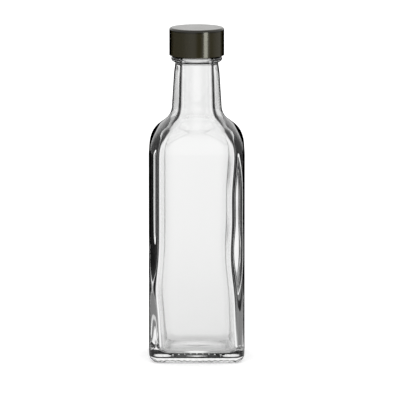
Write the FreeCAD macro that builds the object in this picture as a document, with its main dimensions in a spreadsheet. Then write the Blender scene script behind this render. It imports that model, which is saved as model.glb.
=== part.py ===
# A miniature liqueur bottle of clear glass, empty, with its screw cap on. The glass is
# blown in a square mould: flat faces with rounded corners, shoulders that turn from the
# square into a round neck, a transfer bead, and a finish with a thread for the cap.
# The cap is one moulded shell with a smooth skirt and a thread inside.
# Frame: millimetres, +Z up, the origin at the middle of the foot that the glass stands on.
import FreeCAD, Part
import math
import os
import re
import Sketcher

SIZES = [
    ("body_width", 31.6, "outside of the body, face to face"),
    ("body_corner", 4.0, "outside radius of the body's upright corners"),
    ("heel_radius", 2.7, "rounding between the body's faces and the foot"),
    ("shoulder_start", 68.9, "height where the straight faces end"),
    ("shoulder_radius", 12.5, "arc of the shoulder, seen from the front"),
    ("shoulder_slope", 50.0, "slope at the shoulder's top, degrees from upright"),
    ("neck_blend", 6.0, "hollow arc between shoulder and neck"),
    ("neck_low_dia", 16.4, "neck just above the shoulder"),
    ("neck_high_dia", 15.0, "neck where it starts to draw in below the bead"),
    ("neck_high_drop", 3.8, "from the bead down to that place"),
    ("neck_top_dia", 14.0, "neck just below the bead"),
    ("bead_drop", 8.4, "from the lip down to the transfer bead's top"),
    ("bead_proud", 1.3, "how far the bead stands out from the finish"),
    ("bead_depth", 1.8, "bead, from top to bottom"),
    ("bead_round", 0.8, "rounding of the bead's outer edges"),
    ("finish_dia", 14.2, "neck inside the cap, between the threads"),
    ("glass_height", 109.0, "top of the glass"),
    ("lip_round", 0.7, "rounding of the glass lip"),
    ("bore_dia", 9.6, "bore at the lip"),
    ("wall", 2.9, "glass in the middle of a face, and where the neck starts"),
    ("cavity_corner", 3.6, "upright corners of the hollow"),
    ("cavity_heel", 2.4, "rounding round the hollow's floor"),
    ("floor_depth", 3.0, "glass under the hollow"),
    ("foot_band", 2.6, "flat of the foot between the heel and the dome under it"),
    ("push_up_depth", 0.9, "height of the dome under the foot"),
    ("notch_width", 0.9, "notches across the foot that keep it from slipping"),
    ("notch_depth", 0.2, "depth of a notch"),
    ("notch_pitch", 2.0, "from one notch to the next"),
    ("notch_margin", 0.9, "from the dome's edge to a notch's inner end"),
    ("thread_pitch", 2.8, "rise of the thread in one turn"),
    ("thread_root", 1.3, "thread's width where it leaves the wall"),
    ("thread_crest", 0.7, "thread's width at its top"),
    ("thread_depth", 0.6, "height of the glass thread off the finish"),
    ("thread_turns", 1.5, "turns of thread on the glass"),
    ("thread_drop", 6.6, "from the lip down to the thread's lower end"),
    ("thread_gap", 0.2, "clearance round the glass thread inside the cap"),
    ("thread_bury", 0.2, "how far a thread's root reaches into its wall"),
    ("cap_thread_depth", 0.5, "height of the thread inside the cap"),
    ("cap_thread_turns", 1.2, "turns of thread inside the cap"),
    ("cap_wall", 1.15, "thickness of the cap's skirt"),
    ("cap_length", 9.1, "cap, from top to rim"),
    ("cap_top", 0.9, "thickness of the cap's top"),
    ("cap_edge", 0.7, "rounding of the cap's top edge"),
]
NAMES = [name for name, size, meaning in SIZES]
ARC_SECTIONS = 6
BLEND_SECTIONS = 3
ROUNDEST = 0.98

doc = FreeCAD.newDocument("bottle_with_cap")
sheet = doc.addObject("Spreadsheet::Sheet", "Sizes")
for row, (name, size, meaning) in enumerate(SIZES, 1):
    sheet.set(f"A{row}", meaning)
    sheet.set(f"B{row}", str(size))
    sheet.setAlias(f"B{row}", name)
doc.recompute()


def bound(formula):
    """The formula with each size's name pointing at the sheet."""
    return re.sub(r"[a-z_]+", lambda word: f"Sizes.{word[0]}" if word[0] in NAMES
                  else word[0], formula)


def number(formula):
    """What a formula over the sizes comes to."""
    result = sheet.evalExpression(bound(formula))
    return float(getattr(result, "Value", result))


def origin_feature(body, role):
    """The body's own plane or axis of that role."""
    return next(item for item in body.Origin.OriginFeatures if item.Role == role)


def new_sketch(body, name, role, height=None):
    """A sketch on one of the body's origin planes, or raised above it."""
    sketch = body.newObject("Sketcher::SketchObject", name)
    sketch.AttachmentSupport = [(origin_feature(body, role), "")]
    sketch.MapMode = "FlatFace"
    if height:
        sketch.setExpression("AttachmentOffset.Base.z", bound(height))
    return sketch


def dimension(sketch, kind, elements, formula):
    """A driving dimension of the sketch, bound to the sheet."""
    place = sketch.addConstraint(Sketcher.Constraint(kind, *elements, number(formula)))
    sketch.setExpression(f"Constraints[{place}]", bound(formula))


def rounded_square(sketch, half, corner):
    """A square about the origin with round corners, from half its width and the radius."""
    radius = number(corner)
    flat = number(half) - radius
    for quarter in range(4):
        turn = FreeCAD.Rotation(FreeCAD.Vector(0, 0, 1), 90 * quarter)
        start = turn.multVec(FreeCAD.Vector(flat + radius, -flat, 0))
        end = turn.multVec(FreeCAD.Vector(flat + radius, flat, 0))
        middle = turn.multVec(FreeCAD.Vector(flat, flat, 0))
        rounding = Part.Circle(middle, FreeCAD.Vector(0, 0, 1), radius)
        angle = quarter * math.pi / 2
        sketch.addGeometry(Part.LineSegment(start, end), False)
        sketch.addGeometry(Part.ArcOfCircle(rounding, angle, angle + math.pi / 2), False)
    for edge in range(8):
        sketch.addConstraint(Sketcher.Constraint("Tangent", edge, 2, (edge + 1) % 8, 1))
    for edge in (0, 4):
        sketch.addConstraint(Sketcher.Constraint("Vertical", edge))
    for edge in (2, 6):
        sketch.addConstraint(Sketcher.Constraint("Horizontal", edge))
    for edge in (3, 5, 7):
        sketch.addConstraint(Sketcher.Constraint("Equal", 1, edge))
    dimension(sketch, "Radius", (1,), corner)
    dimension(sketch, "DistanceX", (-1, 1, 0, 1), half)
    dimension(sketch, "DistanceX", (4, 1, -1, 1), half)
    dimension(sketch, "DistanceY", (-1, 1, 2, 1), half)
    dimension(sketch, "DistanceY", (6, 1, -1, 1), half)


def round_section(sketch, radius):
    """A circle about the origin."""
    shape = Part.Circle(FreeCAD.Vector(), FreeCAD.Vector(0, 0, 1), number(radius))
    sketch.addGeometry(shape, False)
    sketch.addConstraint(Sketcher.Constraint("Coincident", 0, 3, -1, 1))
    dimension(sketch, "Radius", (0,), radius)


def outline(sketch, corners):
    """A closed outline through corners (x, y), each a formula; "0" lies on the axis."""
    first = sketch.GeometryCount
    points = [FreeCAD.Vector(number(x), number(y), 0) for x, y in corners]
    following = points[1:] + points[:1]
    for start, end in zip(points, following):
        sketch.addGeometry(Part.LineSegment(start, end), False)
    for edge, (x, y) in enumerate(corners, first):
        before = edge - 1 if edge > first else first + len(corners) - 1
        sketch.addConstraint(Sketcher.Constraint("Coincident", before, 2, edge, 1))
        if x == "0":
            sketch.addConstraint(Sketcher.Constraint("PointOnObject", edge, 1, -2))
        else:
            dimension(sketch, "DistanceX", (-1, 1, edge, 1), x)
        if y == "0":
            sketch.addConstraint(Sketcher.Constraint("PointOnObject", edge, 1, -1))
        else:
            dimension(sketch, "DistanceY", (-1, 1, edge, 1), y)


def turned(body, kind, name, sketch):
    """The sketch turned right round the upright axis, added to the body or cut from it."""
    feature = body.newObject("PartDesign::" + kind, name)
    feature.Profile = (sketch, [""])
    feature.ReferenceAxis = (sketch, ["V_Axis"])
    feature.Angle = 360
    return feature


def lofted(body, kind, name, sections):
    """One smooth skin through the sections, added to the body or cut from it."""
    feature = body.newObject("PartDesign::" + kind, name)
    feature.Profile = (sections[0], [""])
    feature.Sections = [(section, [""]) for section in sections[1:]]
    return feature


def rounded(body, name, radius, picks):
    """A fillet on the body's edges that the pick function chooses."""
    doc.recompute()
    base = body.Tip
    edges = [f"Edge{place}" for place, edge in enumerate(base.Shape.Edges, 1) if picks(edge)]
    fillet = body.newObject("PartDesign::Fillet", name)
    fillet.Base = (base, edges)
    fillet.setExpression("Radius", bound(radius))
    return fillet


def level(edge, height):
    """Whether an edge lies wholly at a height, itself a formula."""
    box = edge.BoundBox
    return abs(box.ZMin - number(height)) < 0.01 and abs(box.ZMax - number(height)) < 0.01


def ring(edge, radius, height):
    """Whether an edge is a whole circle of that radius at that height."""
    return (level(edge, height) and isinstance(edge.Curve, Part.Circle)
            and abs(edge.Curve.Radius - number(radius)) < 0.01)


def threaded(body, name, wall_radius, crest_radius, height, turns):
    """A flat-topped thread that winds up from a height, its root inside the wall."""
    section = new_sketch(body, name + "Section", "XZ_Plane")
    outline(section, [
        (wall_radius, f"{height} - thread_root / 2"),
        (crest_radius, f"{height} - thread_crest / 2"),
        (crest_radius, f"{height} + thread_crest / 2"),
        (wall_radius, f"{height} + thread_root / 2"),
    ])
    helix = body.newObject("PartDesign::AdditiveHelix", name)
    helix.Profile = (section, [""])
    helix.ReferenceAxis = (section, ["V_Axis"])
    helix.Mode = "pitch-turns-angle"
    helix.setExpression("Pitch", bound("thread_pitch"))
    helix.setExpression("Turns", bound(turns))
    return helix


# --- the shoulders' arcs, seen from the front: a round arc from the body's face, a
# straight slope, and a hollow arc into the neck, all tangent to one another
ARC_CENTRE = "(body_width / 2 - shoulder_radius)"
HOLLOW_CENTRE = "(neck_low_dia / 2 + neck_blend)"
SLOPE_RUN = (f"((shoulder_radius + neck_blend) * cos(shoulder_slope)"
             f" - {HOLLOW_CENTRE} + {ARC_CENTRE})")
NECK_START = (f"(shoulder_start + (shoulder_radius + neck_blend) * sin(shoulder_slope)"
              f" + {SLOPE_RUN} / tan(shoulder_slope))")


def shoulder_places(inset):
    """Half widths and heights up a shoulder, an even inset inside the glass's outside."""
    places = []
    for step in range(ARC_SECTIONS + 1):
        angle = f"(shoulder_slope * {step} / {ARC_SECTIONS})"
        places.append((f"({ARC_CENTRE} + (shoulder_radius - {inset}) * cos{angle})",
                       f"(shoulder_start + (shoulder_radius - {inset}) * sin{angle})"))
    for step in range(BLEND_SECTIONS, -1, -1):
        angle = f"(shoulder_slope * {step} / {BLEND_SECTIONS})"
        places.append((f"({HOLLOW_CENTRE} - (neck_blend + {inset}) * cos{angle})",
                       f"({NECK_START} - (neck_blend + {inset}) * sin{angle})"))
    return places


def shoulder_sections(body, name, inset, corner):
    """Sections from the body's rounded square up to the neck's circle."""
    places = shoulder_places(inset)
    widest = places[0][0]
    narrowest = places[-1][0]
    sections = []
    for step, (half, height) in enumerate(places):
        sketch = new_sketch(body, f"{name}Section{step}", "XY_Plane", height)
        turn_in = f"({widest} - {half}) / ({widest} - {narrowest})"
        roundness = f"({corner} / {widest} + (1 - {corner} / {widest}) * {turn_in})"
        if half == narrowest:
            round_section(sketch, half)
        else:
            rounded_square(sketch, half, f"{half} * min({roundness}; {ROUNDEST})")
        sections.append(sketch)
    return sections


def make_bottle():
    """The glass: outside first, then the hollow, the foot and the thread."""
    bottle = doc.addObject("PartDesign::Body", "bottle")

    body_section = new_sketch(bottle, "BodySection", "XY_Plane")
    rounded_square(body_section, "body_width / 2", "body_corner")
    body_block = bottle.newObject("PartDesign::Pad", "BodyBlock")
    body_block.Profile = (body_section, [""])
    body_block.setExpression("Length", bound("shoulder_start"))
    lofted(bottle, "AdditiveLoft", "Shoulders",
           shoulder_sections(bottle, "Shoulder", "0", "body_corner"))

    bead = "(finish_dia / 2 + bead_proud)"
    bead_top = "glass_height - bead_drop"
    bead_low = "glass_height - bead_drop - bead_depth"
    neck_outline = new_sketch(bottle, "NeckOutline", "XZ_Plane")
    outline(neck_outline, [
        ("0", NECK_START),
        ("neck_low_dia / 2", NECK_START),
        ("neck_high_dia / 2", f"{bead_low} - neck_high_drop"),
        ("neck_top_dia / 2", bead_low),
        (bead, bead_low),
        (bead, bead_top),
        ("finish_dia / 2", bead_top),
        ("finish_dia / 2", "glass_height"),
        ("0", "glass_height"),
    ])
    turned(bottle, "Revolution", "Neck", neck_outline)
    rounded(bottle, "BeadRounding", "bead_round",
            lambda edge: ring(edge, bead, bead_low) or ring(edge, bead, bead_top))
    rounded(bottle, "Heel", "heel_radius", lambda edge: level(edge, "0"))

    hollow_section = new_sketch(bottle, "HollowSection", "XY_Plane", "shoulder_start")
    rounded_square(hollow_section, "body_width / 2 - wall", "cavity_corner")
    hollow = bottle.newObject("PartDesign::Pocket", "Hollow")
    hollow.Profile = (hollow_section, [""])
    hollow.setExpression("Length", bound("shoulder_start - floor_depth"))
    lofted(bottle, "SubtractiveLoft", "HollowShoulders",
           shoulder_sections(bottle, "HollowShoulder", "wall", "cavity_corner"))
    bore_outline = new_sketch(bottle, "BoreOutline", "XZ_Plane")
    outline(bore_outline, [
        ("0", NECK_START),
        ("neck_low_dia / 2 - wall", NECK_START),
        ("bore_dia / 2", "glass_height"),
        ("0", "glass_height"),
    ])
    turned(bottle, "Groove", "Bore", bore_outline)
    rounded(bottle, "HollowHeel", "cavity_heel", lambda edge: level(edge, "floor_depth"))
    rounded(bottle, "Lip", "lip_round", lambda edge: level(edge, "glass_height"))

    cut_foot(bottle)
    threaded(bottle, "GlassThread", "finish_dia / 2 - thread_bury",
             "finish_dia / 2 + thread_depth", "glass_height - thread_drop",
             "thread_turns")
    return bottle


def cut_foot(bottle):
    """The shallow dome under the foot, and the notches across what is left of it."""
    dome = new_sketch(bottle, "PushUpOutline", "XZ_Plane")
    dome_radius = "(body_width / 2 - heel_radius - foot_band)"
    reach = number(dome_radius)
    depth = number("push_up_depth")
    drop = (reach ** 2 - depth ** 2) / (2 * depth)
    sphere = Part.Circle(FreeCAD.Vector(0, -drop, 0), FreeCAD.Vector(0, 0, 1), drop + depth)
    side = math.atan2(drop, reach)
    dome.addGeometry(Part.LineSegment(FreeCAD.Vector(), FreeCAD.Vector(reach, 0, 0)), False)
    dome.addGeometry(Part.ArcOfCircle(sphere, side, math.pi / 2), False)
    dome.addGeometry(Part.LineSegment(FreeCAD.Vector(0, depth, 0), FreeCAD.Vector()), False)
    dome.addConstraint(Sketcher.Constraint("Coincident", 0, 1, -1, 1))
    dome.addConstraint(Sketcher.Constraint("Horizontal", 0))
    dome.addConstraint(Sketcher.Constraint("Coincident", 0, 2, 1, 1))
    dome.addConstraint(Sketcher.Constraint("Coincident", 1, 2, 2, 1))
    dome.addConstraint(Sketcher.Constraint("Coincident", 2, 2, -1, 1))
    dome.addConstraint(Sketcher.Constraint("PointOnObject", 1, 2, -2))
    dome.addConstraint(Sketcher.Constraint("PointOnObject", 1, 3, -2))
    dimension(dome, "DistanceX", (-1, 1, 0, 2), dome_radius)
    dimension(dome, "DistanceY", (-1, 1, 1, 2), "push_up_depth")
    turned(bottle, "Groove", "PushUp", dome)

    flat = number("body_width / 2 - body_corner")
    pitch = number("notch_pitch")
    each_way = int((flat - number("notch_width / 2")) // pitch)
    inner_end = f"{dome_radius} + notch_margin"
    notches = new_sketch(bottle, "NotchSection", "XY_Plane")
    for place in range(-each_way, each_way + 1):
        outline(notches, [
            (inner_end, f"{place} * notch_pitch - notch_width / 2"),
            ("body_width / 2", f"{place} * notch_pitch - notch_width / 2"),
            ("body_width / 2", f"{place} * notch_pitch + notch_width / 2"),
            (inner_end, f"{place} * notch_pitch + notch_width / 2"),
        ])
    one_side = bottle.newObject("PartDesign::Pocket", "NotchesOneSide")
    one_side.Profile = (notches, [""])
    one_side.Reversed = True
    one_side.setExpression("Length", bound("notch_depth"))
    doc.recompute()
    all_sides = bottle.newObject("PartDesign::PolarPattern", "Notches")
    all_sides.Originals = [one_side]
    all_sides.Axis = (origin_feature(bottle, "Z_Axis"), [""])
    all_sides.Angle = 360
    all_sides.Occurrences = 4
    bottle.Tip = all_sides
    doc.recompute()


def make_cap():
    """The cap, drawn with its ceiling at zero and set down on the glass lip."""
    cap = doc.addObject("PartDesign::Body", "cap")
    inside = "(finish_dia / 2 + thread_depth + thread_gap)"
    outside = f"({inside} + cap_wall)"
    cap_outline = new_sketch(cap, "CapOutline", "XZ_Plane")
    outline(cap_outline, [
        ("0", "0"),
        (inside, "0"),
        (inside, "cap_top - cap_length"),
        (outside, "cap_top - cap_length"),
        (outside, "cap_top"),
        ("0", "cap_top"),
    ])
    turned(cap, "Revolution", "CapShell", cap_outline)
    rounded(cap, "CapEdge", "cap_edge", lambda edge: ring(edge, outside, "cap_top"))
    threaded(cap, "CapThread", f"{inside} + thread_bury", f"{inside} - cap_thread_depth",
             "(thread_pitch / 2 - thread_drop)", "cap_thread_turns")
    cap.setExpression("Placement.Base.z", bound("glass_height"))
    return cap


parts = [make_bottle(), make_cap()]
doc.recompute()
for item in doc.Objects:
    if {"Invalid", "Error"} & set(item.State):
        raise RuntimeError(f"{item.Label} failed: {item.State}")
os.makedirs("parts", exist_ok=True)
for part in parts:
    if part.Shape.isNull() or not part.Shape.isValid() or len(part.Shape.Solids) != 1:
        raise RuntimeError(f"{part.Label} has no valid solid")
for part in parts:
    part.Shape.exportStep(f"parts/{part.Label}.step")
    print(part.Label, round(part.Shape.Volume, 1), part.Shape.BoundBox)
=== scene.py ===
import math

import bpy
import numpy as np
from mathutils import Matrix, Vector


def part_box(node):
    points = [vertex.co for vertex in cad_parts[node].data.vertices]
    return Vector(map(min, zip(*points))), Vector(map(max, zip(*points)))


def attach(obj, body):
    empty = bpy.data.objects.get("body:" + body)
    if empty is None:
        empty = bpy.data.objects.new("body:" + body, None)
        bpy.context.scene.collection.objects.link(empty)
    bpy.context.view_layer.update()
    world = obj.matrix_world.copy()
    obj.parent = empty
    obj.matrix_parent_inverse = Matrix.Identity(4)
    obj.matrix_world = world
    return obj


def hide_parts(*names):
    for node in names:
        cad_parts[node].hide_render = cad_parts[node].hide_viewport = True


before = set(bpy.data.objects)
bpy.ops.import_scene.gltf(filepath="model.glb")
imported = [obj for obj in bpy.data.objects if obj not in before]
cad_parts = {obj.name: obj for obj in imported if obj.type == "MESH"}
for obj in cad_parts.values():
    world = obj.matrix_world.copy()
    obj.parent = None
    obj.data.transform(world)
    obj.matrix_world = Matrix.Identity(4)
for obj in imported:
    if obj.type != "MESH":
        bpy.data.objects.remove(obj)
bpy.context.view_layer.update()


# --- bottle -----------------------------------------------------------------------------
# The bottle is one piece of flint glass about 3 mm thick, thicker in the corners and under
# the foot. It stands on a flat band with notches pressed across it, round a low dome.
lip_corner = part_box("bottle")[1]
# Outside, in metres, from the foot up.
BODY_HALF = round(float(lip_corner[0]), 4)
GLASS_TOP = round(float(lip_corner[2]), 4)
BODY_CORNER = 0.0040
FOOT_CORNER_LEAST = 0.0012
HEEL_RADIUS = 0.0027
SHOULDER_START = 0.0689
SHOULDER_RADIUS = 0.0125
SHOULDER_SLOPE = 50
NECK_BLEND = 0.0060
NECK_LOW = 0.0082
NECK_HIGH = 0.0075
NECK_HIGH_AT = GLASS_TOP - 0.0140
NECK_TOP = 0.0070
BEAD_TOP = GLASS_TOP - 0.0084
BEAD_DEPTH = 0.0018
BEAD_REACH = 0.0084
BEAD_ROUND = 0.0008
FINISH = 0.0071
LIP_ROUND = 0.0007
# The hollow, whose corners grow rounder from one height down towards the floor.
BORE = 0.0048
WALL = 0.0029
HOLLOW_CORNER = 0.0036
HOLLOW_CORNER_LOW = 0.0045
ROUNDER_BELOW = 0.014
ROUNDER_OVER = 0.011
HOLLOW_HEEL = 0.0022
FLOOR_UNDER_HOLLOW = 0.0030
FLOOR_CROWN = 0.0003
# Height of the middle, spread up and down, and thickness of each place where a wall swells.
RIGHT_SWELLINGS = ((0.036, 0.011, 0.00125), (0.055, 0.010, 0.0008),
                   (0.005, 0.006, -0.0004), (0.03, 0.05, -0.0003))
LEFT_SWELLINGS = ((0.002, 0.006, 0.0004), (0.0245, 0.0085, -0.00085))
# The dome under the foot, and the notches across the band round it.
DOME_REACH = 0.0105
DOME_RISE = 0.0009
NOTCH_PITCH = 0.0020
NOTCH_RISE = 0.00015
NOTCH_EDGE = 0.0010
NOTCH_HEIGHT = 0.0016
NOTCH_FADE = 0.0012
# The corners are the mean of these shares of their radius, so a flat runs softly into them.
CORNER_SPREAD = (0.5, 1.0, 1.5)
# How the two profiles are drawn: points on their straights, the small steps between one
# curve and the next, how far each place is eased, and the ring next to each pole.
MID_BODY = 0.06
LOW_BODY = 0.03
NECK_ROOT = 0.086
PROFILE_SEAM = 0.0002
PROFILE_JOIN = 0.0010
OUTSIDE_EASE = 0.0005
INSIDE_EASE = 0.0035
POLE_RING = 0.0004
# Points round the glass, and how far they crowd towards the four corners.
AROUND = 400
CROWDING = 0.08


def arc(centre, radius, start, end, steps):
    """Centre plus radius times cosine and sine of the angle, in half-width and height."""
    angles = np.radians(np.linspace(start, end, steps))
    return np.column_stack([centre[0] + radius * np.cos(angles),
                            centre[1] + radius * np.sin(angles)])


def shoulder(inset):
    """A round arc turned up to the slope, then a hollow arc of the other hand up to the
    neck, joined by the straight line that touches both, all an even inset inside."""
    round_centre = (BODY_HALF - SHOULDER_RADIUS, SHOULDER_START)
    hollow_half = NECK_LOW + NECK_BLEND
    slope = math.radians(SHOULDER_SLOPE)
    both = SHOULDER_RADIUS + NECK_BLEND
    run = both * math.cos(slope) - hollow_half + round_centre[0]
    hollow_height = SHOULDER_START + both * math.sin(slope) + run / math.tan(slope)
    return np.vstack([
        arc(round_centre, SHOULDER_RADIUS - inset, 0, SHOULDER_SLOPE, 40),
        arc((hollow_half, hollow_height), NECK_BLEND + inset, 180 + SHOULDER_SLOPE, 180, 40),
    ])


def eased(path, reach, steps):
    """The path at even steps, each place the bell-weighted mean of those within reach; past
    its ends the path is taken to go on as its own mirror image through the end point."""
    fine_steps = 1600
    along = np.concatenate([[0], np.cumsum(np.hypot(*np.diff(path, axis=0).T))])
    fine = np.linspace(0, along[-1], fine_steps)
    places = np.column_stack([np.interp(fine, along, path[:, axis]) for axis in (0, 1)])
    half_window = int(reach / along[-1] * fine_steps)
    weights = np.hanning(2 * half_window + 3)[1:-1]
    weights = weights / weights.sum()
    before = 2 * places[0] - places[half_window:0:-1]
    after = 2 * places[-1] - places[-2:-half_window - 2:-1]
    padded = np.vstack([before, places, after])
    smooth = np.column_stack([np.convolve(padded[:, axis], weights, "valid")
                              for axis in (0, 1)])
    kept = np.linspace(0, fine_steps - 1, steps).round().astype(int)
    return smooth[kept]


def even_run(start, end):
    """Nine even places from one point of half-width and height to another."""
    share = np.linspace(0, 1, 9)[:, None]
    return (1 - share) * np.array(start) + share * np.array(end)


def outside_path():
    """Half-width and height from the dome under the foot up the outside to the lip."""
    bead_low = BEAD_TOP - BEAD_DEPTH
    bead_centre = BEAD_REACH - BEAD_ROUND
    foot_edge = BODY_HALF - HEEL_RADIUS
    sides = np.vstack([[(BODY_HALF, HEEL_RADIUS + PROFILE_JOIN), (BODY_HALF, MID_BODY)],
                       shoulder(0),
                       [(NECK_HIGH, NECK_HIGH_AT), (NECK_TOP, bead_low - PROFILE_SEAM),
                        (bead_centre, bead_low - PROFILE_SEAM / 2)]])
    dome = even_run((POLE_RING, DOME_RISE), (DOME_REACH, 0))
    band = even_run((DOME_REACH + PROFILE_SEAM, 0), (foot_edge - PROFILE_SEAM, 0))
    heel = arc((foot_edge, HEEL_RADIUS), HEEL_RADIUS, -90, 0, 14)
    finish = even_run((FINISH, BEAD_TOP + PROFILE_SEAM), (FINISH, GLASS_TOP - LIP_ROUND))
    return np.vstack([
        dome, band, heel, eased(sides, OUTSIDE_EASE, 120),
        arc((bead_centre, bead_low + BEAD_ROUND), BEAD_ROUND, -75, 0, 8),
        arc((bead_centre, BEAD_TOP - BEAD_ROUND), BEAD_ROUND, 0, 85, 8),
        finish, arc((FINISH - LIP_ROUND, GLASS_TOP - LIP_ROUND), LIP_ROUND, 12, 90, 7)])


def inside_path():
    """Half-width and height from the lip down the bore to the middle of the floor."""
    half = BODY_HALF - WALL
    heel_top = FLOOR_UNDER_HOLLOW + HOLLOW_HEEL
    down = shoulder(WALL)[::-1]
    walls = np.vstack([[(BORE, GLASS_TOP - LIP_ROUND - 2 * PROFILE_SEAM),
                        (NECK_LOW - WALL, NECK_ROOT)],
                       down[down[:, 1] < NECK_ROOT],
                       [(half, MID_BODY), (half, heel_top + 2 * PROFILE_SEAM)]])
    heel = arc((half - HOLLOW_HEEL, heel_top), HOLLOW_HEEL, 0, -90, 12)
    floor = even_run((half - HOLLOW_HEEL - PROFILE_JOIN / 2, FLOOR_UNDER_HOLLOW),
                     (POLE_RING, FLOOR_UNDER_HOLLOW + FLOOR_CROWN))
    return np.vstack([
        arc((BORE + LIP_ROUND, GLASS_TOP - LIP_ROUND), LIP_ROUND, 90, 180, 7),
        eased(walls, INSIDE_EASE, 96), heel, floor])


def glass_added(height, swellings):
    """Glass added to a wall: the sum of bell curves, each of one size about one height."""
    return sum(size * np.exp(-((height - middle) / spread) ** 2)
               for middle, spread, size in swellings)


def rounded_square(turn, half, corner):
    """Distance from the axis at each turn: the flat side's half over the cosine, and past
    the flat's end the far crossing with the corner's circle."""
    folded = np.abs((turn + math.pi / 4) % (math.pi / 2) - math.pi / 4)
    flat = half - corner
    along = flat * (np.cos(folded) + np.sin(folded))
    across = flat * (np.cos(folded) - np.sin(folded))
    on_corner = along + np.sqrt(np.maximum(corner ** 2 - across ** 2, 0))
    return np.where(np.tan(folded) * half < flat, half / np.cos(folded), on_corner)


def s_curve(share):
    """Three squares less two cubes of the share, held between 0 and 1."""
    share = np.clip(share, 0, 1)
    return share * share * (3 - 2 * share)


def corner_radius(path, inside):
    """The corner's radius at each place of the path: the body's own, growing to a full
    circle as the shoulder draws in to the neck, and growing again towards the foot."""
    half, height = path[:, 0], path[:, 1]
    widest = BODY_HALF - WALL if inside else BODY_HALF
    neck = NECK_LOW - WALL if inside else NECK_LOW
    body = HOLLOW_CORNER if inside else BODY_CORNER
    drawn_in = s_curve((widest - half) / (widest - neck))
    share = body / widest
    above = half * (share + (1 - share) * drawn_in)
    if inside:
        low = s_curve((ROUNDER_BELOW - height) / ROUNDER_OVER)
        below = np.minimum(body + (HOLLOW_CORNER_LOW - body) * low, half)
    else:
        band = BODY_HALF - HEEL_RADIUS
        to_dome = np.clip((band - half) / (band - DOME_REACH), 0, 1)
        heel = np.maximum(body - (widest - half), FOOT_CORNER_LEAST)
        below = (1 - to_dome) * heel + to_dome * half
    return np.where(height > LOW_BODY, above, below)


def notch_lift(x, y, half, height):
    """Height that the notches lift the foot by: a wave along each side, from its middle out,
    that fades out at the dome and up the heel."""
    wave = 0.5 + 0.5 * np.cos(2 * math.pi * np.minimum(abs(x), abs(y)) / NOTCH_PITCH)
    off_dome = np.clip((half - DOME_REACH) / NOTCH_EDGE, 0, 1)
    below_heel = np.clip((NOTCH_HEIGHT - height) / NOTCH_FADE, 0, 1)
    return NOTCH_RISE * wave * off_dome * below_heel


def ring_faces(rings):
    """Four-sided faces from each ring to the next, and a fan of triangles from the first and
    the last ring to a pole of its own; the two poles come after all the rings."""
    row, column = np.meshgrid(np.arange(rings - 1), np.arange(AROUND), indexing="ij")
    ahead = (column + 1) % AROUND
    quads = np.stack([row * AROUND + column, row * AROUND + ahead,
                      (row + 1) * AROUND + ahead, (row + 1) * AROUND + column], axis=2)
    around = np.arange(AROUND)
    next_one = (around + 1) % AROUND
    last = (rings - 1) * AROUND
    first_fan = np.column_stack([np.full(AROUND, rings * AROUND), next_one, around])
    last_fan = np.column_stack([np.full(AROUND, rings * AROUND + 1), last + around,
                                last + next_one])
    return quads.reshape(-1, 4).tolist() + first_fan.tolist() + last_fan.tolist()


def build_glass():
    """Rings of rounded squares carried along the outside and inside paths, the inside drawn
    in to each side by the wall's swellings, notches lifting the foot, a pole at each end."""
    outside, inside = outside_path(), inside_path()
    path = np.vstack([outside, inside])
    corner = np.concatenate([corner_radius(outside, False), corner_radius(inside, True)])
    half, height = path[:, :1], path[:, 1:]
    quarters = np.arange(AROUND) / AROUND * 4
    turn = math.pi / 2 * (quarters + CROWDING * np.sin(2 * math.pi * quarters))
    radius = sum(rounded_square(turn, half, np.minimum(corner[:, None] * spread, half))
                 for spread in CORNER_SPREAD) / len(CORNER_SPREAD)
    x, y = radius * np.cos(turn), radius * np.sin(turn)
    is_inside = (np.arange(len(path)) >= len(outside))[:, None]
    added = np.where(x > 0, glass_added(height, RIGHT_SWELLINGS),
                     glass_added(height, LEFT_SWELLINGS))
    x = x * (1 - is_inside * added / (BODY_HALF - WALL))
    z = height + ~is_inside * notch_lift(x, y, half, height)
    places = np.stack([x, y, z], axis=2).reshape(-1, 3)
    poles = [(0, 0, DOME_RISE), (0, 0, FLOOR_UNDER_HOLLOW + FLOOR_CROWN)]
    mesh = bpy.data.meshes.new("glass")
    mesh.from_pydata(np.vstack([places, poles]).tolist(), [], ring_faces(len(path)))
    mesh.shade_smooth()
    piece = bpy.data.objects.new("glass", mesh)
    bpy.context.scene.collection.objects.link(piece)
    return piece


def add_node(tree, kind, inputs, **settings):
    """A node of one kind; each input is linked to a socket or set to a plain value."""
    made = tree.nodes.new(kind)
    for name, value in settings.items():
        setattr(made, name, value)
    for key, value in inputs.items():
        if isinstance(value, bpy.types.NodeSocket):
            tree.links.new(value, made.inputs[key])
        else:
            made.inputs[key].default_value = value
    return made


def soft_step(tree, value, low, high, at_low, at_high):
    """An S-curve from one output to the other as the value goes from low to high."""
    return add_node(tree, "ShaderNodeMapRange",
                    {"Value": value, "From Min": low, "From Max": high,
                     "To Min": at_low, "To Max": at_high},
                    interpolation_type="SMOOTHSTEP").outputs["Result"]


def maths(tree, operation, first, second):
    """One sum of two numbers or sockets."""
    return add_node(tree, "ShaderNodeMath", {0: first, 1: second},
                    operation=operation).outputs[0]


def height_of(tree):
    """Height of the place above the foot."""
    place = add_node(tree, "ShaderNodeTexCoord", {}).outputs["Object"]
    return add_node(tree, "ShaderNodeSeparateXYZ", {0: place}).outputs["Z"]


def upward_of(tree):
    """How far the face looks up: 1 is straight up, 0 level and -1 straight down."""
    normal = add_node(tree, "ShaderNodeNewGeometry", {}).outputs["Normal"]
    return add_node(tree, "ShaderNodeSeparateXYZ", {0: normal}).outputs["Z"]


def blend_colours(tree, share, low, high):
    """The low colour where the share is 0, the high one where it is 1."""
    return add_node(tree, "ShaderNodeMix", {0: share, 6: low, 7: high},
                    data_type="RGBA").outputs[2]


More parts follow.
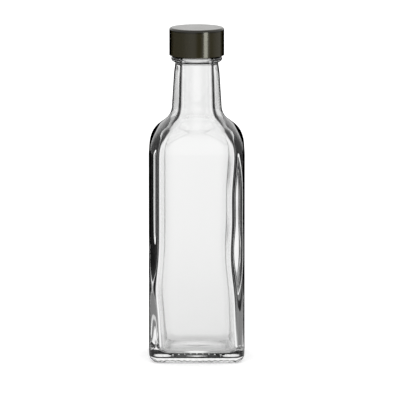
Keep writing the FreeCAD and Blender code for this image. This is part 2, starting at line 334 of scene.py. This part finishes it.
def flow_group():
    """Cloudy noise at the place times the stretch, for what flowed as it set."""
    group = bpy.data.node_groups.new("flow of the melt", "ShaderNodeTree")
    group.interface.new_socket("Scale", in_out="INPUT", socket_type="NodeSocketFloat")
    group.interface.new_socket("Stretch", in_out="INPUT", socket_type="NodeSocketVector")
    group.interface.new_socket("Waves", in_out="OUTPUT", socket_type="NodeSocketFloat")
    start = group.nodes.new("NodeGroupInput")
    end = group.nodes.new("NodeGroupOutput")
    place = add_node(group, "ShaderNodeTexCoord", {})
    stretched = add_node(group, "ShaderNodeVectorMath",
                         {0: place.outputs["Object"], 1: start.outputs["Stretch"]},
                         operation="MULTIPLY")
    waves = add_node(group, "ShaderNodeTexNoise",
                     {"Vector": stretched.outputs[0], "Scale": start.outputs["Scale"],
                      "Detail": 3.0, "Roughness": 0.45})
    group.links.new(waves.outputs[0], end.inputs["Waves"])
    return group


flow = flow_group()


def flow_of(tree, scale, stretch):
    """The shared waves in one material."""
    return add_node(tree, "ShaderNodeGroup", {"Scale": scale, "Stretch": stretch},
                    node_tree=flow).outputs["Waves"]


# The glass's finish. A pair gives where a fade starts and where it ends: of the waves, of how
# far a face is turned from the eye, of how far it looks up, or of height in metres.
BLACK = (0.0, 0.0, 0.0, 1)
GLASS_THICK = (0.945, 0.947, 0.945, 1)
GLASS_THIN = (0.965, 0.966, 0.965, 1)
GLASS_IOR = 1.5
GLASS_WAVES = 90.0
GLASS_STRETCH = (1.0, 1.0, 0.35)
WAVE_LOW_HIGH = (0.3, 0.7)
# Painted shade: where a face turns away from the eye the glass is painted black, for the
# camera only.
GLASS_OUTLINE_SHADE_FACING = (0.5, 0.86)
FACES_DOWN = (-0.6, -0.15)
CAP_SHADE_FROM = BEAD_TOP - 0.0012
# Painted shade of the cap: dark olive put into the glass's colour just under the cap, camera
# only.
PAINTED_CAP_SHADE = (0.03, 0.028, 0.02, 1)
# Painted glow: in the foot, a ray that has bounced many times ends in a flat grey glow.
FOOT_PAINTED_GLOW = (0.22, 0.22, 0.22, 1)
FOOT_GREY_FADES = (0.014, 0.034)
MANY_BOUNCES = 5.5


def glass_material():
    """Flint glass: clear, a shade greyer where more of it flowed together, and faintly wavy.
    It has black shade painted at the outline where one looks along the wall, dark olive
    shade of the cap painted just under it, and a grey glow painted where light has gone round
    many times inside the thick foot."""
    material = bpy.data.materials.new("flint glass")
    material.use_nodes = True
    tree = material.node_tree
    shader = tree.nodes["Principled BSDF"]
    shader.inputs["IOR"].default_value = GLASS_IOR
    shader.inputs["Transmission Weight"].default_value = 1.0
    waves = flow_of(tree, GLASS_WAVES, GLASS_STRETCH)
    clear = blend_colours(tree, waves, GLASS_THICK, GLASS_THIN)
    height = height_of(tree)
    path = add_node(tree, "ShaderNodeLightPath", {})
    seen_first = path.outputs["Is Camera Ray"]
    # Painted shade of the cap just under it, seen by the camera only.
    shaded = soft_step(tree, height, CAP_SHADE_FROM, BEAD_TOP, 0.0, 1.0)
    with_painted_cap_shade = blend_colours(tree, maths(tree, "MULTIPLY", shaded, seen_first), clear, PAINTED_CAP_SHADE)
    # Painted black shade at the outline, on faces not turned down, seen by the camera only.
    facing = add_node(tree, "ShaderNodeLayerWeight", {"Blend": 0.5}).outputs["Facing"]
    painted_outline_shade = soft_step(tree, facing, *GLASS_OUTLINE_SHADE_FACING, 0.0, 1.0)
    not_below = soft_step(tree, upward_of(tree), *FACES_DOWN, 0.0, 1.0)
    painted_outline_shade = maths(tree, "MULTIPLY", maths(tree, "MULTIPLY", painted_outline_shade, not_below), seen_first)
    # Painted grey glow in the foot where a ray has bounced many times.
    painted_foot_glow = maths(tree, "GREATER_THAN", path.outputs["Ray Depth"], MANY_BOUNCES)
    in_foot = soft_step(tree, height, *FOOT_GREY_FADES, 1.0, 0.0)
    painted_foot_glow = maths(tree, "MULTIPLY", painted_foot_glow, in_foot)
    dark = maths(tree, "MAXIMUM", painted_outline_shade, painted_foot_glow)
    tree.links.new(blend_colours(tree, dark, with_painted_cap_shade, BLACK), shader.inputs["Base Color"])
    tree.links.new(blend_colours(tree, painted_foot_glow, BLACK, FOOT_PAINTED_GLOW),
                   shader.inputs["Emission Color"])
    shader.inputs["Emission Strength"].default_value = 1.0
    tree.links.new(soft_step(tree, waves, *WAVE_LOW_HIGH, 0.0, 0.02),
                   shader.inputs["Roughness"])
    bump = add_node(tree, "ShaderNodeBump",
                    {"Height": waves, "Strength": 0.35, "Distance": 0.00004})
    tree.links.new(bump.outputs["Normal"], shader.inputs["Normal"])
    return material


glass = build_glass()
glass.data.materials.append(glass_material())
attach(glass, "root")
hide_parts("bottle")


# --- cap --------------------------------------------------------------------------------
# The cap is a smooth disc-topped moulding in very dark olive plastic, as glossy as it came
# from the mould. It screws down until its ceiling rests on the lip.
CAP_OLIVE = (0.0215, 0.0182, 0.0070, 1)
CAP_OLIVE_DEEP = (0.0172, 0.0150, 0.0058, 1)
# Painted shade: near black put into the cap's colour along its outline and round the top's
# edge.
CAP_PAINTED_SHADE = (0.001, 0.001, 0.0006, 1)
CAP_TOP = float(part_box("cap")[1][2])
EDGE_DEPTH = 0.0014
RIM_SHADE_STRENGTH = 0.75
CAP_WAVES = 220.0
CAP_STRETCH = (1.0, 1.0, 0.5)
CAP_OUTLINE_SHADE_FACING = (0.45, 0.75)
EDGE_TO_TOP = (0.45, 0.85)
SIDE_TO_TOP = (0.5, 0.9)


def cap_material():
    """Gloss plastic: olive that varies a little with the flow of the moulding, with near black
    shade painted round the top's edge and along the outline, and a faint ripple in the gloss."""
    material = bpy.data.materials.new("cap plastic")
    material.use_nodes = True
    tree = material.node_tree
    shader = tree.nodes["Principled BSDF"]
    waves = flow_of(tree, CAP_WAVES, CAP_STRETCH)
    olive = blend_colours(tree, waves, CAP_OLIVE_DEEP, CAP_OLIVE)
    upward = upward_of(tree)
    # Painted shade round the top's edge, where the side rounds over into the top.
    rising = soft_step(tree, height_of(tree), CAP_TOP - EDGE_DEPTH, CAP_TOP - 0.5 * EDGE_DEPTH,
                       0.0, 1.0)
    falling = soft_step(tree, upward, *EDGE_TO_TOP, 1.0, 0.0)
    edge = maths(tree, "MULTIPLY", rising, falling)
    # Painted shade along the outline of the side.
    facing = add_node(tree, "ShaderNodeLayerWeight", {"Blend": 0.5}).outputs["Facing"]
    painted_outline_shade = soft_step(tree, facing, *CAP_OUTLINE_SHADE_FACING, 0.0, 1.0)
    on_side = soft_step(tree, upward, *SIDE_TO_TOP, 1.0, 0.0)
    dark = maths(tree, "MAXIMUM", maths(tree, "MULTIPLY", painted_outline_shade, on_side),
                 maths(tree, "MULTIPLY", edge, RIM_SHADE_STRENGTH))
    tree.links.new(blend_colours(tree, dark, olive, CAP_PAINTED_SHADE), shader.inputs["Base Color"])
    tree.links.new(soft_step(tree, waves, *WAVE_LOW_HIGH, 0.13, 0.18),
                   shader.inputs["Roughness"])
    bump = add_node(tree, "ShaderNodeBump",
                    {"Height": waves, "Strength": 0.15, "Distance": 0.00003})
    tree.links.new(bump.outputs["Normal"], shader.inputs["Normal"])
    return material


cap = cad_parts["cap"]
cap.data.materials.clear()
cap.data.materials.append(cap_material())


# --- studio -----------------------------------------------------------------------------
# The bottle stands on a white table in front of white, with dark flags between the lights:
# light that was reflected inside the glass comes from them, and draws its dark lines.
WHITE_WITHIN = math.radians(6)
DARK_BEYOND = math.radians(32)
OVERHEAD_FROM_TO = (0.25, 0.6)
OVERHEAD_TONE = 0.25
TABLE_REACH = 6.0
TABLE_WHITE = (0.95, 0.95, 0.95, 1)
TABLE_GLOW = 0.35
BY_THE_FOOT = (0.03, 0.12)
BY_THE_FOOT_TONE = 0.45
AT_LEAST_ONCE = 0.5
STRIP_PLACE = (0.277, -0.355, 0.052)
STRIP_WIDTH = 0.13
STRIP_HEIGHT = 0.096
STRIP_POWER = 0.30
STRIP_COLOUR = (1.0, 1.0, 0.86)
# Painted shadow on the table by distance from the middle, and tone of what stands round it by
# degrees.
FLOOR_PAINTED_SHADOW = ((0.0, 0.5), (0.016, 0.6), (0.028, 0.82), (0.04, 0.89), (0.07, 0.92),
                (0.14, 0.95), (0.4, 1.0), (1.0, 1.0))
ROUND_SHADES = ((-180, 0.0), (-130, 0.0), (-112, 0.1), (-67, 0.25), (-30, 0.6), (-15, 0.65),
                (4, 0.1), (14, 0.05), (25, 0.5), (50, 0.6), (60, 0.15), (76, 0.35), (108, 0.5),
                (130, 0.0), (180, 0.0))


def curve_through(tree, value, points):
    """A smooth curve through the points, read at the value."""
    shade = add_node(tree, "ShaderNodeFloatCurve", {"Value": value})
    curve = shade.mapping.curves[0]
    curve.points[0].location = points[0]
    curve.points[-1].location = points[-1]
    for point in points[1:-1]:
        curve.points.new(*point)
    shade.mapping.update()
    return shade.outputs["Value"]


def flags_group():
    """From a direction: four soft white lobes towards the sides of the bottle with dark
    between them, and the shades that stand all round it, both by the compass angle."""
    group = bpy.data.node_groups.new("lights and flags", "ShaderNodeTree")
    group.interface.new_socket("Direction", in_out="INPUT", socket_type="NodeSocketVector")
    group.interface.new_socket("Lobes", in_out="OUTPUT", socket_type="NodeSocketFloat")
    group.interface.new_socket("Shades", in_out="OUTPUT", socket_type="NodeSocketFloat")
    start = group.nodes.new("NodeGroupInput")
    end = group.nodes.new("NodeGroupOutput")
    parts = add_node(group, "ShaderNodeSeparateXYZ", {0: start.outputs["Direction"]})
    x, y = parts.outputs["X"], parts.outputs["Y"]
    folded = maths(group, "ARCTAN2", maths(group, "ABSOLUTE", x, 0.0),
                   maths(group, "ABSOLUTE", y, 0.0))
    corner = math.pi / 4
    off_corner = maths(group, "ABSOLUTE", maths(group, "SUBTRACT", folded, corner), 0.0)
    lobes = soft_step(group, off_corner, corner - DARK_BEYOND, corner - WHITE_WITHIN, 0.0, 1.0)
    group.links.new(lobes, end.inputs["Lobes"])
    turn = maths(group, "ARCTAN2", x, maths(group, "MULTIPLY", y, -1.0))
    share = maths(group, "ADD", maths(group, "DIVIDE", turn, 2 * math.pi), 0.5)
    points = [(degrees / 360 + 0.5, shade) for degrees, shade in ROUND_SHADES]
    group.links.new(curve_through(group, share, points), end.inputs["Shades"])
    return group


flags = flags_group()


def seen_by_glass(tree, straight, lobes, face):
    """What a ray that left the object sees: one tone straight through the glass, the lobes
    once it has been reflected inside the glass, another tone off an outside face."""
    path = add_node(tree, "ShaderNodeLightPath", {})
    passed = maths(tree, "GREATER_THAN", path.outputs["Transmission Depth"], AT_LEAST_ONCE)
    reflected = maths(tree, "GREATER_THAN", path.outputs["Glossy Depth"], AT_LEAST_ONCE)
    once = add_node(tree, "ShaderNodeMix", {0: passed, 2: face, 3: lobes}).outputs[0]
    return passed, reflected, add_node(
        tree, "ShaderNodeMix", {0: reflected, 2: straight, 3: once}).outputs[0]


def studio_world():
    """White all round; what is straight overhead is dimmer through the glass."""
    world = bpy.data.worlds.new("studio")
    bpy.context.scene.world = world
    world.use_nodes = True
    tree = world.node_tree
    direction = add_node(tree, "ShaderNodeTexCoord", {}).outputs["Generated"]
    upward = add_node(tree, "ShaderNodeSeparateXYZ", {0: direction}).outputs["Z"]
    overhead = soft_step(tree, upward, *OVERHEAD_FROM_TO, 1.0, OVERHEAD_TONE)
    around = add_node(tree, "ShaderNodeGroup", {"Direction": direction}, node_tree=flags)
    passed, reflected, seen = seen_by_glass(tree, overhead, around.outputs["Lobes"], 1.0)
    off_object = maths(tree, "MAXIMUM", passed, reflected)
    tone = add_node(tree, "ShaderNodeMix", {0: off_object, 2: 1.0, 3: seen}).outputs[0]
    tree.links.new(tone, tree.nodes["Background"].inputs["Color"])


def studio_floor():
    """A wide white table, plain to the camera, with a soft painted shadow under the bottle to
    glass.
    """
    corners = TABLE_REACH * np.array([(-1, -1, 0), (1, -1, 0), (1, 1, 0), (-1, 1, 0)])
    mesh = bpy.data.meshes.new("floor")
    mesh.from_pydata(corners.tolist(), [], [(0, 1, 2, 3)])
    floor = bpy.data.objects.new("floor", mesh)
    bpy.context.scene.collection.objects.link(floor)
    material = bpy.data.materials.new("white table")
    material.use_nodes = True
    tree = material.node_tree
    shader = tree.nodes["Principled BSDF"]
    shader.inputs["Base Color"].default_value = TABLE_WHITE
    shader.inputs["Roughness"].default_value = 0.9
    shader.inputs["Emission Color"].default_value = (1, 1, 1, 1)
    shader.inputs["Emission Strength"].default_value = TABLE_GLOW
    place = add_node(tree, "ShaderNodeNewGeometry", {}).outputs["Position"]
    out = add_node(tree, "ShaderNodeVectorMath", {0: place}, operation="LENGTH")
    # Painted shadow round the bottle's foot, seen by rays straight through the glass.
    straight = curve_through(tree, out.outputs["Value"], FLOOR_PAINTED_SHADOW)
    around = add_node(tree, "ShaderNodeGroup", {"Direction": place}, node_tree=flags)
    close_by = soft_step(tree, out.outputs["Value"], *BY_THE_FOOT, BY_THE_FOOT_TONE, 0.0)
    lobes = maths(tree, "MAXIMUM", around.outputs["Lobes"], close_by)
    passed, reflected, seen = seen_by_glass(tree, straight, lobes, around.outputs["Shades"])
    glow = add_node(tree, "ShaderNodeEmission", {"Color": seen})
    off_object = maths(tree, "MAXIMUM", passed, reflected)
    surface = add_node(tree, "ShaderNodeMixShader",
                       {0: off_object, 1: shader.outputs[0], 2: glow.outputs[0]})
    tree.links.new(surface.outputs[0], tree.nodes["Material Output"].inputs["Surface"])
    floor.data.materials.append(material)


def strip_light():
    """An upright strip of light that faces the bottle, flagged off everything but the cap. It
    stands lower than the cap's top, so the flat top never mirrors it."""
    lamp = bpy.data.lights.new("strip", "AREA")
    lamp.shape = "RECTANGLE"
    lamp.size = STRIP_WIDTH
    lamp.size_y = STRIP_HEIGHT
    lamp.energy = STRIP_POWER
    lamp.color = STRIP_COLOUR
    lamp.cycles.cast_shadow = False
    stand = bpy.data.objects.new("strip", lamp)
    stand.location = STRIP_PLACE
    stand.rotation_euler = (math.pi / 2, 0, math.atan2(STRIP_PLACE[0], -STRIP_PLACE[1]))
    stand.visible_camera = False
    bpy.context.scene.collection.objects.link(stand)
    lit = bpy.data.collections.new("lit by the strip")
    lit.objects.link(cap)
    stand.light_linking.receiver_collection = lit


studio_world()
studio_floor()
strip_light()


# --- camera -----------------------------------------------------------------------------
# A long lens a little above the bottle, square to its front face.
ELEVATION = math.radians(9.2)
DISTANCE = 1.6
FRAME_WIDTH = 0.1325
SENSOR_WIDTH = 36
AIM = np.array([0.00107, 0, 0.05225])

lens = bpy.data.cameras.new("camera")
lens.sensor_width = SENSOR_WIDTH
lens.lens = SENSOR_WIDTH * DISTANCE / FRAME_WIDTH
lens.clip_end = 100
camera = bpy.data.objects.new("camera", lens)
camera.location = AIM + DISTANCE * np.array([0, -math.cos(ELEVATION), math.sin(ELEVATION)])
camera.rotation_euler = (math.pi / 2 - ELEVATION, 0, 0)
bpy.context.scene.collection.objects.link(camera)
bpy.context.scene.camera = camera
bpy.context.scene.view_settings.view_transform = "Standard"
